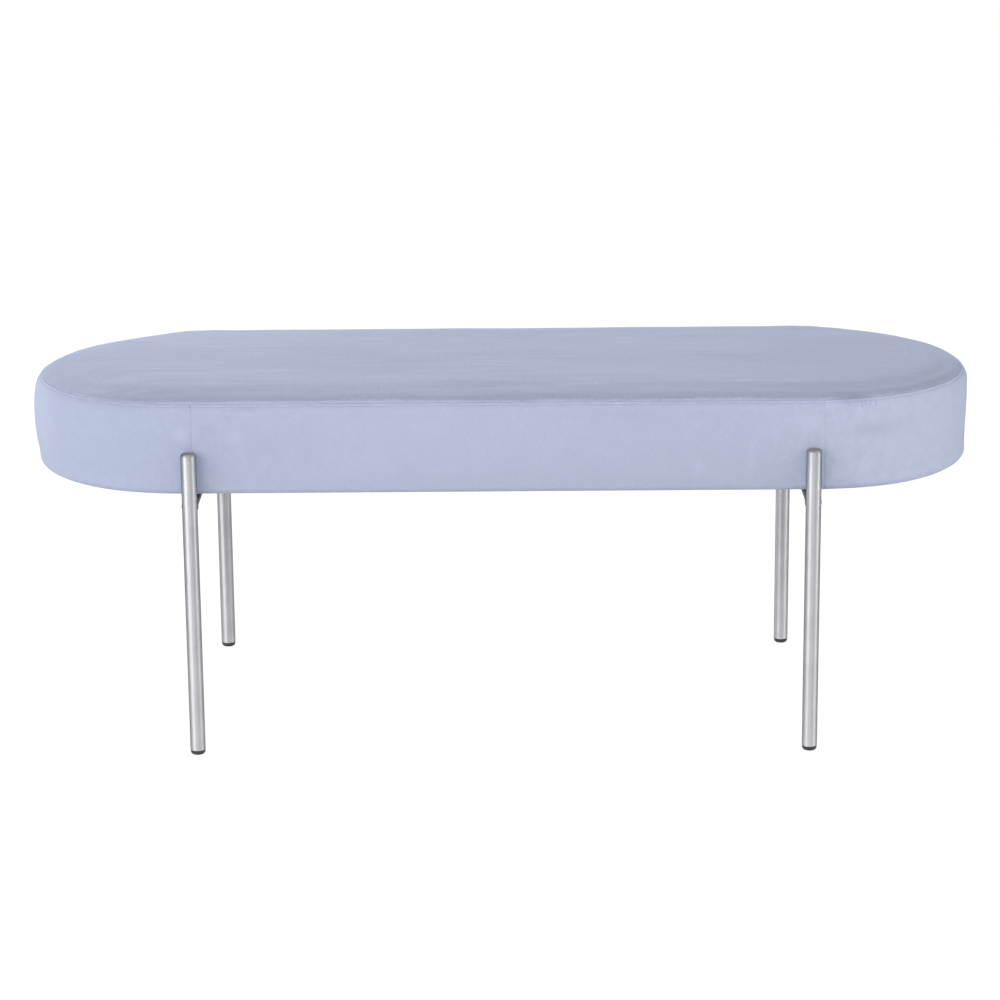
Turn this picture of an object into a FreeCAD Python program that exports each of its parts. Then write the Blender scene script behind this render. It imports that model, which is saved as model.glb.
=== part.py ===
import FreeCAD, Part
import math
import os

# Upholstered bench ottoman: an oblong velvet seat carried by two welded steel leg frames.
#
# The seat is a plywood board and a foam block, wrapped in wadding and a sewn velvet cover. The
# cover is a top panel and a side band of four panels. The band turns under round the board's
# edge and is stapled there, and a dust cover closes the underside. Each leg frame is two
# upright tubes that stand outside the seat, a crossbar coped to both, and two mounting plates,
# each bolted through to a tee nut in the board.
#
# Millimetres, +Z up, +X along the seat, front at -Y, origin on the floor under the middle.
# A seat section lies across the seat: r runs out from the middle line, and z up from the floor.

# Seat, overall
SEAT_LENGTH = 1200.0
SEAT_WIDTH = 430.0
SEAT_BASE = 332.5  # underside of the velvet
SEAT_TOP = 460.5  # flat of the crown
RIM_ROLL = 25.0  # radius of the round between the sides and the top
RIM_DROP = 5.0  # from the crown down to where that round would top out
RIM_TURN = 67.5  # degrees of the round, up from the side, before the crown's slope begins
RIM_FLATS = 3  # flats that make up the round
CROWN_SLOPE = 35.0  # from the middle of the round in to the flat of the crown
FOOT_LEDGE = 3.5  # from the board's edge out to the bevel under the sides

# Seat, layers from outside in
VELVET = 1.4
SEAM_TURN = 45.0  # degrees round the rim, up from the side, where the top panel is sewn on
SEAM_GAP = 0.3  # open line between two sewn panels
HEM_WIDTH = 40.0  # velvet turned under, measured from the side
WADDING_SIDE = 13.0  # velvet and wadding outside the edge of board and foam
WADDING_RIM = 6.5  # velvet and wadding over the foam's upper edge
BOARD_THICKNESS = 18.0
DUST_COVER = 0.6
DUST_COVER_INSET = 25.0  # from the side to the dust cover's edge
DUST_COVER_STEP = 4.0  # width of the slope that carries it down over the hem
DUST_COVER_CUT = 8.0  # square cut in it for each bolt

# Staples
STAPLE_CROWN = 10.0
STAPLE_WIRE = 0.6
STAPLE_WIDTH = 1.2
STAPLE_LEG = 8.0
HEM_STAPLE_INSET = 34.0  # from the side
DUST_STAPLE_INSET = 29.0
STAPLES_ALONG = 6  # on each straight side
STAPLES_ROUND = 4  # on each round end

# Leg frames
LEG_DIAMETER = 19.0
LEG_WALL = 1.5
LEG_RISE = 57.0  # from the seat's underside up to the top of the leg with its cap
LEG_GAP = 0.3  # from the leg to the side of the seat
CROSSBAR_DIAMETER = 18.0
CROSSBAR_WALL = 1.5
COPE_GAP = 0.02  # between a coped end and the leg it is welded to

# Leg ends
CAP_THICKNESS = 2.5
SOLE_HEIGHT = 6.0
SOLE_CHAMFER = 3.5
PLUG_LENGTH = 18.0
PLUG_GAP = 0.25  # between the foot's plug and the tube's bore

# Mounting plates and their fasteners
PLATE_LENGTH = 64.0  # along the seat
PLATE_WIDTH = 40.0
PLATE_THICKNESS = 3.0
PLATE_CORNER = 8.0
PLATE_LAP = 12.0  # how far a plate reaches past its crossbar's middle
PLATE_INSET = 85.0  # from the side of the seat to a plate's middle
BOLT_REACH = 30.0  # from the crossbar's middle to a bolt
BOLT_DIAMETER = 6.0
BOLT_LENGTH = 20.0
BOLT_HEAD_WIDTH = 10.0  # across flats
BOLT_HEAD_HEIGHT = 4.0
BOLT_HOLE = 6.6
THREAD_GAP = 0.05
TEE_NUT_FLANGE_WIDTH = 17.0  # across flats
TEE_NUT_FLANGE_THICKNESS = 1.5
TEE_NUT_BARREL = 7.8
TEE_NUT_BARREL_LENGTH = 10.0
TEE_NUT_FIT = 0.1  # round the nut in the board
PRONGS = 3
PRONG_LENGTH = 5.0
PRONG_WIDTH = 3.0
PRONG_THICKNESS = 1.2
PRONG_REACH = 6.0  # from the bolt's middle to a prong's inner face

# Worked out from the sizes above
HALF_WIDTH = SEAT_WIDTH / 2
END_CENTRE = SEAT_LENGTH / 2 - HALF_WIDTH  # where the straight sides turn into the round ends
RIM_R = HALF_WIDTH - RIM_ROLL  # middle of the rim's round
RIM_Z = SEAT_TOP - RIM_DROP - RIM_ROLL
CORE_RADIUS = HALF_WIDTH - WADDING_SIDE  # edge of board and foam
FOOT_BEVEL = WADDING_SIDE - FOOT_LEDGE
BOARD_BOTTOM = SEAT_BASE + VELVET
BOARD_TOP = BOARD_BOTTOM + BOARD_THICKNESS
HEM_EDGE = HALF_WIDTH - HEM_WIDTH
LEG_RADIUS = LEG_DIAMETER / 2
LEG_BORE = LEG_RADIUS - LEG_WALL
LEG_Y = HALF_WIDTH + LEG_GAP + LEG_RADIUS
TUBE_TOP = SEAT_BASE + LEG_RISE - CAP_THICKNESS
PLATE_Y = HALF_WIDTH - PLATE_INSET
PLATE_TOP = BOARD_BOTTOM - DUST_COVER
PLATE_BOTTOM = PLATE_TOP - PLATE_THICKNESS
CROSSBAR_RADIUS = CROSSBAR_DIAMETER / 2
CROSSBAR_Z = PLATE_BOTTOM - CROSSBAR_RADIUS
FLANGE_SEAT = BOARD_TOP - TEE_NUT_FLANGE_THICKNESS
BEVEL_TURN = math.radians(45)  # between the bevel and the faces that it joins
SIDES = {"left": -1, "right": 1}
ENDS = {"front": -1, "back": 1}

ORIGIN = FreeCAD.Vector(0, 0, 0)
X_AXIS = FreeCAD.Vector(1, 0, 0)
Y_AXIS = FreeCAD.Vector(0, 1, 0)
Z_AXIS = FreeCAD.Vector(0, 0, 1)


# Shapes that several pieces share

def cylinder(radius, bottom, top, x=0.0, y=0.0):
    return Part.makeCylinder(radius, top - bottom, FreeCAD.Vector(x, y, bottom), Z_AXIS)


def face(corners):
    """Flat face with these corners."""
    return Part.Face(Part.makePolygon(corners + corners[:1]))


def hexagon(across_flats, bottom, top):
    """Upright hexagonal prism on the Z axis."""
    reach = across_flats / math.sqrt(3)
    turns = [math.radians(60 * i) for i in range(6)]
    corners = [FreeCAD.Vector(reach * math.cos(t), reach * math.sin(t), bottom) for t in turns]
    return face(corners).extrude(Z_AXIS * (top - bottom))


def section_face(points):
    """Face of a section that has these (r, z) corners."""
    return face([FreeCAD.Vector(0, r, z) for r, z in points])


def section_box(inner, outer, bottom, top):
    return section_face([(inner, bottom), (outer, bottom), (outer, top), (inner, top)])


def straight_run(section, open_ends=0.0):
    """The section swept along the straight part of the seat, short of its ends by open_ends."""
    half = END_CENTRE - open_ends
    return section.translated(X_AXIS * -half).extrude(X_AXIS * 2 * half)


def round_end(section, side):
    """The section turned through half a circle, round one end of the seat."""
    centre = X_AXIS * (side * END_CENTRE)
    return section.translated(centre).revolve(centre, Z_AXIS, -side * 180)


def whole_seat(section):
    """The section carried all the way round the seat, as one solid."""
    runs = [straight_run(section), straight_run(section.mirror(ORIGIN, Y_AXIS))]
    ends = [round_end(section, side) for side in SIDES.values()]
    return runs[0].fuse(runs[1:] + ends).removeSplitter()


# Seat

def rim_points(inset):
    """(r, z) points round the rim, from the crown's slope down to the side."""
    radius = RIM_ROLL - inset
    turns = [math.radians(RIM_TURN * i / RIM_FLATS) for i in range(RIM_FLATS, -1, -1)]
    return [(RIM_R + radius * math.cos(t), RIM_Z + radius * math.sin(t)) for t in turns]


def seat_face(inset):
    """Half section of the seat, with its outer faces moved in by inset."""
    crown = [(0, SEAT_TOP - inset), (RIM_R - CROWN_SLOPE, SEAT_TOP - inset)]
    bevel = FOOT_BEVEL + inset * math.tan(BEVEL_TURN / 2)
    foot = [(HALF_WIDTH - inset, SEAT_BASE + bevel), (HALF_WIDTH - bevel, SEAT_BASE + inset)]
    return section_face(crown + rim_points(inset) + foot + [(0, SEAT_BASE + inset)])


def foam_top():
    """Height of the foam, whose upper edge lies inside the round of the rim."""
    reach = max(CORE_RADIUS - RIM_R, 0.0)
    return RIM_Z + math.sqrt((RIM_ROLL - WADDING_RIM) ** 2 - reach**2)


def foam_block():
    return whole_seat(section_box(0, CORE_RADIUS, BOARD_TOP, foam_top()))


def wadding():
    """Wadding over the foam and down past the board's edge."""
    core = section_box(0, CORE_RADIUS, SEAT_BASE, foam_top())
    return whole_seat(seat_face(VELVET).cut(core).Faces[0])


def seam_slit():
    """Section of the open line between the top panel and the side band."""
    slit = section_box(0, RIM_ROLL + VELVET, -SEAM_GAP / 2, SEAM_GAP / 2)
    slit = slit.rotated(ORIGIN, X_AXIS, SEAM_TURN)
    return slit.translated(FreeCAD.Vector(0, RIM_R, RIM_Z))


def velvet_sections():
    """Sections of the side band and of the top panel."""
    open_middle = section_box(0, HEM_EDGE, SEAT_BASE, BOARD_BOTTOM)
    cloth = seat_face(0).cut([seat_face(VELVET), open_middle, seam_slit()])
    return sorted(cloth.Faces, key=lambda part: part.CenterOfMass.z)


def cover_top_panel():
    return whole_seat(velvet_sections()[1])


def cover_band(name):
    """One of the four panels of the side band, which meet at seams beside the legs."""
    section = velvet_sections()[0]
    if name in SIDES:
        return round_end(section, SIDES[name])
    if name == "front":
        section = section.mirror(ORIGIN, Y_AXIS)
    return straight_run(section, SEAM_GAP)


def bolt_places():
    """(x, y) of every bolt that holds a leg frame to the board."""
    return [
        (side * (END_CENTRE - BOLT_REACH), end * PLATE_Y)
        for side in SIDES.values()
        for end in ENDS.values()
    ]


def at_places(model, places):
    """A copy of the piece at each (x, y)."""
    return Part.makeCompound([model.translated(FreeCAD.Vector(x, y, 0)) for x, y in places])


def prongs():
    """Pointed prongs under a tee nut's flange, driven into the wood."""
    half = PRONG_WIDTH / 2
    corners = [
        FreeCAD.Vector(PRONG_REACH, -half, FLANGE_SEAT),
        FreeCAD.Vector(PRONG_REACH, half, FLANGE_SEAT),
        FreeCAD.Vector(PRONG_REACH, 0, FLANGE_SEAT - PRONG_LENGTH),
    ]
    prong = face(corners).extrude(X_AXIS * PRONG_THICKNESS)
    return [prong.rotated(ORIGIN, Z_AXIS, i * 360 / PRONGS) for i in range(PRONGS)]


def seat_board():
    """Plywood base, with a hole for each tee nut's barrel and a sunk seat for its flange."""
    flange_seat = hexagon(TEE_NUT_FLANGE_WIDTH + 2 * TEE_NUT_FIT, FLANGE_SEAT, BOARD_TOP)
    hole = cylinder(TEE_NUT_BARREL / 2 + TEE_NUT_FIT, BOARD_BOTTOM, BOARD_TOP)
    nut_space = flange_seat.fuse([hole] + prongs())
    board = whole_seat(section_box(0, CORE_RADIUS, BOARD_BOTTOM, BOARD_TOP))
    return board.cut(at_places(nut_space, bolt_places()))


def tee_nut():
    """Flanged nut set into the board from above."""
    barrel_end = FLANGE_SEAT - TEE_NUT_BARREL_LENGTH
    barrel = cylinder(TEE_NUT_BARREL / 2, barrel_end, FLANGE_SEAT)
    flange = hexagon(TEE_NUT_FLANGE_WIDTH, FLANGE_SEAT, BOARD_TOP)
    bore = cylinder(BOLT_DIAMETER / 2 + THREAD_GAP, barrel_end, BOARD_TOP)
    return flange.fuse([barrel] + prongs()).cut(bore)


def dust_cover():
    """Thin cloth under the board that steps down over the velvet's hem and its staples."""
    low = SEAT_BASE - STAPLE_WIRE
    upper = [
        (0, BOARD_BOTTOM),
        (HEM_EDGE - DUST_COVER_STEP, BOARD_BOTTOM),
        (HEM_EDGE, low),
        (HALF_WIDTH - DUST_COVER_INSET, low),
    ]
    lower = [(r, z - DUST_COVER) for r, z in reversed(upper)]
    corner = FreeCAD.Vector(-DUST_COVER_CUT / 2, -DUST_COVER_CUT / 2, PLATE_TOP)
    cut = Part.makeBox(DUST_COVER_CUT, DUST_COVER_CUT, DUST_COVER, corner)
    return whole_seat(section_face(upper + lower)).cut(at_places(cut, bolt_places()))


def staple(surface):
    """One staple on the Z axis, its crown flat under a surface and its legs driven up."""
    outer = STAPLE_CROWN / 2
    inner = outer - STAPLE_WIRE
    crown = surface - STAPLE_WIRE
    tip = surface + STAPLE_LEG
    half_outline = [(outer, crown), (outer, tip), (inner, tip), (inner, surface)]
    outline = half_outline + [(-x, z) for x, z in reversed(half_outline)]
    profile = face([FreeCAD.Vector(x, -STAPLE_WIDTH / 2, z) for x, z in outline])
    return profile.extrude(Y_AXIS * STAPLE_WIDTH)


def staple_ring(inset, surface):
    """Staples all the way round the seat, each one lying along the edge."""
    model = staple(surface)
    radius = HALF_WIDTH - inset
    placed = []
    for i in range(STAPLES_ALONG):
        x = END_CENTRE * (2 * (i + 0.5) / STAPLES_ALONG - 1)
        placed += [model.translated(FreeCAD.Vector(x, end * radius, 0)) for end in ENDS.values()]
    for i in range(STAPLES_ROUND):
        turn = 180 * (i + 0.5) / STAPLES_ROUND
        for side in SIDES.values():
            at_end = model.translated(Y_AXIS * -radius).rotated(ORIGIN, Z_AXIS, side * turn)
            placed.append(at_end.translated(X_AXIS * (side * END_CENTRE)))
    return Part.makeCompound(placed)


# Leg frames

def leg_places():
    """(x, y) of every leg's middle line."""
    return [(side * END_CENTRE, end * LEG_Y) for side in SIDES.values() for end in ENDS.values()]


def leg_tube(side, end):
    x, y = side * END_CENTRE, end * LEG_Y
    tube = cylinder(LEG_RADIUS, SOLE_HEIGHT, TUBE_TOP, x, y)
    return tube.cut(cylinder(LEG_BORE, SOLE_HEIGHT, TUBE_TOP, x, y))


def crossbar(side):
    """Tube under the seat, with both ends coped to the round of the legs."""
    x = side * END_CENTRE
    start = FreeCAD.Vector(x, -LEG_Y, CROSSBAR_Z)
    outer = Part.makeCylinder(CROSSBAR_RADIUS, 2 * LEG_Y, start, Y_AXIS)
    bore = Part.makeCylinder(CROSSBAR_RADIUS - CROSSBAR_WALL, 2 * LEG_Y, start, Y_AXIS)
    cope_radius = LEG_RADIUS + COPE_GAP
    copes = [cylinder(cope_radius, SOLE_HEIGHT, TUBE_TOP, x, end * LEG_Y) for end in ENDS.values()]
    return outer.cut([bore] + copes)


def upright_edges(shape, x):
    """The edges of an upright shape that stand at this x."""
    upright = [edge for edge in shape.Edges if edge.BoundBox.ZLength > edge.BoundBox.YLength]
    return [edge for edge in upright if math.isclose(edge.CenterOfMass.x, x)]


def mounting_plate(side, end):
    """Plate welded on top of the crossbar, with rounded free corners and one bolt hole."""
    x, y = side * END_CENTRE, end * PLATE_Y
    free_end = x - side * (PLATE_LENGTH - PLATE_LAP)
    corner = FreeCAD.Vector(min(free_end, x + side * PLATE_LAP), y - PLATE_WIDTH / 2, PLATE_BOTTOM)
    plate = Part.makeBox(PLATE_LENGTH, PLATE_WIDTH, PLATE_THICKNESS, corner)
    plate = plate.makeFillet(PLATE_CORNER, upright_edges(plate, free_end))
    return plate.cut(cylinder(BOLT_HOLE / 2, PLATE_BOTTOM, PLATE_TOP, x - side * BOLT_REACH, y))


def plate_bolt():
    """Hexagon-head bolt, up through a plate, the dust cover and the board."""
    head = hexagon(BOLT_HEAD_WIDTH, PLATE_BOTTOM - BOLT_HEAD_HEIGHT, PLATE_BOTTOM)
    return head.fuse(cylinder(BOLT_DIAMETER / 2, PLATE_BOTTOM, PLATE_BOTTOM + BOLT_LENGTH))


def leg_cap():
    """Disc that closes the top of a leg, chamfered through its thickness."""
    low = Z_AXIS * TUBE_TOP
    return Part.makeCone(LEG_RADIUS, LEG_RADIUS - CAP_THICKNESS, CAP_THICKNESS, low, Z_AXIS)


def foot():
    """Plastic foot with a chamfered sole and a plug up the tube."""
    plug = LEG_BORE - PLUG_GAP
    plug_top = SOLE_HEIGHT + PLUG_LENGTH
    outline = [
        (0, 0),
        (LEG_RADIUS - SOLE_CHAMFER, 0),
        (LEG_RADIUS, SOLE_CHAMFER),
        (LEG_RADIUS, SOLE_HEIGHT),
        (plug, SOLE_HEIGHT),
        (plug, plug_top),
        (0, plug_top),
    ]
    return section_face(outline).revolve(ORIGIN, Z_AXIS, 360)


def export(node, shape):
    """Writes one node, made of the shape's solids, to its own file."""
    solids = Part.makeCompound(shape.Solids)
    if not shape.Solids or not solids.isValid():
        raise ValueError(f"{node} has no valid solid")
    solids.exportStep(f"parts/{node}.step")


def main():
    os.makedirs("parts", exist_ok=True)
    export("seat_board", seat_board())
    export("foam_block", foam_block())
    export("wadding", wadding())
    export("cover_top_panel", cover_top_panel())
    for name in list(ENDS) + list(SIDES):
        export(f"cover_band_{name}", cover_band(name))
    export("dust_cover", dust_cover())
    export("hem_staples", staple_ring(HEM_STAPLE_INSET, SEAT_BASE))
    export("dust_cover_staples", staple_ring(DUST_STAPLE_INSET, SEAT_BASE - STAPLE_WIRE - DUST_COVER))

    for side_name, side in SIDES.items():
        export(f"crossbar_{side_name}", crossbar(side))
        for end_name, end in ENDS.items():
            export(f"leg_{end_name}_{side_name}", leg_tube(side, end))
            export(f"mounting_plate_{end_name}_{side_name}", mounting_plate(side, end))
    export("leg_caps", at_places(leg_cap(), leg_places()))
    export("feet", at_places(foot(), leg_places()))
    export("plate_bolts", at_places(plate_bolt(), bolt_places()))
    export("tee_nuts", at_places(tee_nut(), bolt_places()))


main()
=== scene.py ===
import math

import bmesh
import bpy
import numpy as np
from mathutils import Matrix, Vector


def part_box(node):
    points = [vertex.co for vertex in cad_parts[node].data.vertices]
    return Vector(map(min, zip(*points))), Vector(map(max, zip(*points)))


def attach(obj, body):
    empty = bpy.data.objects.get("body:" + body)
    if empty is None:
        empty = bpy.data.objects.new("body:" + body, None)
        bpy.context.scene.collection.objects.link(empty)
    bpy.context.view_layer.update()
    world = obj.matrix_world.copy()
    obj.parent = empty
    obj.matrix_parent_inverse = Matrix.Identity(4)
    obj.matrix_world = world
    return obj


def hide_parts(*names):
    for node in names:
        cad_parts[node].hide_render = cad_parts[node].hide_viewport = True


# Looks of an upholstered bench ottoman: a velvet seat with half-round ends on brushed steel leg frames.
# Metres, +Z up, +X along the seat, front at -Y, as in the frame. Names ending in _MM are millimetres.

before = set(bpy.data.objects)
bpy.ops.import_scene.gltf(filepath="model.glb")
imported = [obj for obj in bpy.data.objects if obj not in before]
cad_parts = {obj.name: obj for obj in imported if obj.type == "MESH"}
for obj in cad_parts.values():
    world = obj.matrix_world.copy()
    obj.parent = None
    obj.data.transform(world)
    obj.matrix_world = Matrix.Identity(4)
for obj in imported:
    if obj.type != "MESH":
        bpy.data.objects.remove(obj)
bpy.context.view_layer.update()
MM = 0.001

# Sizes read from the frame

band_low, band_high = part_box("cover_band_front")
leg_low, leg_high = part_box("leg_front_right")
bar_low, bar_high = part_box("crossbar_right")
board_low, board_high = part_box("seat_board")
HALF_WIDTH = -band_low.y
SEAT_BASE = band_low.z
SEAT_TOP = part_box("cover_top_panel")[1].z
BOARD_BOTTOM = board_low.z
BOARD_TOP = board_high.z
BOARD_REACH = board_high.y
FOAM_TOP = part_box("foam_block")[1].z
VELVET = BOARD_BOTTOM - SEAT_BASE
LEG_X = (leg_low.x + leg_high.x) / 2
LEG_Y = -(leg_low.y + leg_high.y) / 2
LEG_RADIUS = (leg_high.x - leg_low.x) / 2
TUBE_FOOT = leg_low.z
TUBE_TOP = leg_high.z
CAP_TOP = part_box("leg_caps")[1].z
PLUG_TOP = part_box("feet")[1].z
BAR_RADIUS = (bar_high.x - bar_low.x) / 2
BAR_Z = (bar_low.z + bar_high.z) / 2
PLATE_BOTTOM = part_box("mounting_plate_front_right")[0].z
END_CENTRE = LEG_X
LEG_PLACES = {
    end_name + "_" + side_name: (side * LEG_X, end * LEG_Y)
    for end_name, end in (("front", -1), ("back", 1))
    for side_name, side in (("left", -1), ("right", 1))
}

# Camera, solved from the photograph

CAMERA_PLACE = (0.0217, -4.0485, 1.3543)
CAMERA_YAW = -0.0018
CAMERA_PITCH = 0.2635
CAMERA_ROLL = -0.0076
FOCAL_PIXELS = 3208.9
IMAGE_PIXELS = 1000
IMAGE_MIDDLE_PIXELS = (13.57, 3.88)  # right and down of the image's middle
SENSOR_MM = 36.0
FARTHEST_SEEN = 50


def link(name, data):
    """A new object of the scene."""
    item = bpy.data.objects.new(name, data)
    bpy.context.scene.collection.objects.link(item)
    return item


def make_camera():
    data = bpy.data.cameras.new("camera")
    data.sensor_width = SENSOR_MM
    data.lens = FOCAL_PIXELS * SENSOR_MM / IMAGE_PIXELS
    data.shift_x = -IMAGE_MIDDLE_PIXELS[0] / IMAGE_PIXELS
    data.shift_y = IMAGE_MIDDLE_PIXELS[1] / IMAGE_PIXELS
    data.clip_end = FARTHEST_SEEN
    item = link("camera", data)
    turn = Matrix.Rotation(-CAMERA_YAW, 3, "Z")
    turn = turn @ Matrix.Rotation(math.pi / 2 - CAMERA_PITCH, 3, "X")
    turn = turn @ Matrix.Rotation(CAMERA_ROLL, 3, "Z")
    item.location = CAMERA_PLACE
    item.rotation_euler = turn.to_euler("XYZ")
    bpy.context.scene.camera = item


# Shader helpers

def colour(red, green, blue):
    """A colour as it is read off a screen, 0 to 255, as a shader takes it."""
    values = np.array([red, green, blue]) / 255
    linear = np.where(values <= 0.04045, values / 12.92, ((values + 0.055) / 1.055) ** 2.4)
    return (*[float(v) for v in linear], 1.0)


class Look:
    """A material or the world, with short ways to add nodes to it; most give the new node's socket."""

    def __init__(self, owner):
        owner.use_nodes = True
        self.owner = owner
        self.tree = owner.node_tree

    def put(self, socket, value):
        """Sets a socket to a constant, or links another node's socket to it."""
        if isinstance(value, bpy.types.NodeSocket):
            self.tree.links.new(value, socket)
        else:
            socket.default_value = value

    def node(self, kind, inputs, **settings):
        """The outputs of a new shader node."""
        item = self.tree.nodes.new("ShaderNode" + kind)
        for key, value in settings.items():
            setattr(item, key, value)
        for key, value in inputs.items():
            self.put(item.inputs[key], value)
        return item.outputs

    def math(self, operation, first, second=0.0, third=0.0):
        return self.node("Math", {0: first, 1: second, 2: third}, operation=operation)[0]

    def times(self, first, second):
        return self.math("MULTIPLY", first, second)

    def mix(self, factor, first, second):
        return self.node("Mix", {0: factor, 6: first, 7: second}, data_type="RGBA")[2]

    def spread(self, value, low, high, to_low=0.0, to_high=1.0):
        """The value's range from low to high, carried over smoothly to another range."""
        inputs = {"Value": value, "From Min": low, "From Max": high, "To Min": to_low, "To Max": to_high}
        return self.node("MapRange", inputs, interpolation_type="SMOOTHSTEP")[0]

    def axes(self, vector):
        return self.node("SeparateXYZ", {0: vector})

    def places(self, scale=(1, 1, 1), turn=(0, 0, 0), shift=(0, 0, 0), source=None):
        """Object coordinates, which are metres of the frame here, or others, scaled and turned."""
        if source is None:
            source = self.node("TexCoord", {})["Object"]
        inputs = {"Vector": source, "Location": shift, "Rotation": turn, "Scale": scale}
        return self.node("Mapping", inputs)[0]

    def round_places(self):
        """Places as (distance along the front or back, distance out from the seat's middle line, height)."""
        x, y, z = self.axes(self.places())
        within = self.math("MINIMUM", self.math("MAXIMUM", x, -END_CENTRE), END_CENTRE)
        past = self.math("SUBTRACT", x, within)
        width = self.math("ABSOLUTE", y)
        out = self.math("SQRT", self.math("MULTIPLY_ADD", past, past, self.times(width, width)))
        turn = self.math("ARCTAN2", past, width)
        along = self.math("MULTIPLY_ADD", turn, HALF_WIDTH, within)
        return self.node("CombineXYZ", {0: along, 1: out, 2: z})[0]

    def noise(self, vector, scale, detail=2.0, roughness=0.5, distortion=0.0):
        inputs = {"Vector": vector, "Scale": scale, "Detail": detail, "Roughness": roughness}
        return self.node("TexNoise", {**inputs, "Distortion": distortion})["Fac"]

    def bump(self, height, depth, strength, before=None):
        inputs = {"Height": height, "Distance": depth, "Strength": strength}
        if before is not None:
            inputs["Normal"] = before
        return self.node("Bump", inputs)[0]

    def patch(self, vector, middle, radii, ragged):
        """1 in the middle of an oval region of the frame, falling to 0 at its ragged edge."""
        away = self.node("VectorMath", {0: vector, 1: middle}, operation="SUBTRACT")[0]
        away = self.node("VectorMath", {0: away, 1: radii}, operation="DIVIDE")[0]
        reach = self.node("VectorMath", {0: away}, operation="LENGTH")["Value"]
        rough = self.noise(vector, PATCH_EDGE_SCALE, 6, 0.75)
        reach = self.math("ADD", reach, self.math("MULTIPLY_ADD", rough, 3 * ragged, -ragged))
        return self.spread(reach, PATCH_CORE, 1.0, 1.0, 0.0)

    def finish(self, **values):
        """The material, once its shader's inputs are set by name, with underscores for spaces."""
        shader = self.tree.nodes["Principled BSDF"]
        for key, value in values.items():
            self.put(shader.inputs[key.replace("_", " ")], value)
        return self.owner


def new_look(name):
    return Look(bpy.data.materials.new(name))


# Materials

PATCH_EDGE_SCALE = 70
PATCH_CORE = 0.15  # share of a patch's radius where it is whole
NAP_TURN = (0.0, 0.0, 0.03)
NAP_LIFTS = (0, 14, -20)  # plain, light and dark
PILE_SCALE = 900
PILE_DEPTH = 0.35 * MM
CLOUD_SCALE = 8
CLOUD_DEPTH = 4 * MM
# Painted shade along the top's rim, and a painted highlight where the fold at the seam catches the light
PAINTED_RIM_SHADE_START = 10 * MM  # past the seat's edge, before the noises pull it in
PAINTED_RIM_SHADE_END = 46 * MM
RIM_COARSE = (14, 50, 50)
RIM_COARSE_PULL = 90 * MM
RIM_FINE = (240, 240, 240)
RIM_FINE_PULL = 50 * MM
FOLD_LIGHT_WIDTH = 4 * MM
FOLD_LIGHT_COARSE_PULL = 8 * MM
FOLD_LIGHT_FINE_PULL = 7 * MM
RUB_START = 4.4 * MM  # below the seam
RUB_END = 3.2 * MM
SHEEN_COLOUR = colour(214, 223, 250)


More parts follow.
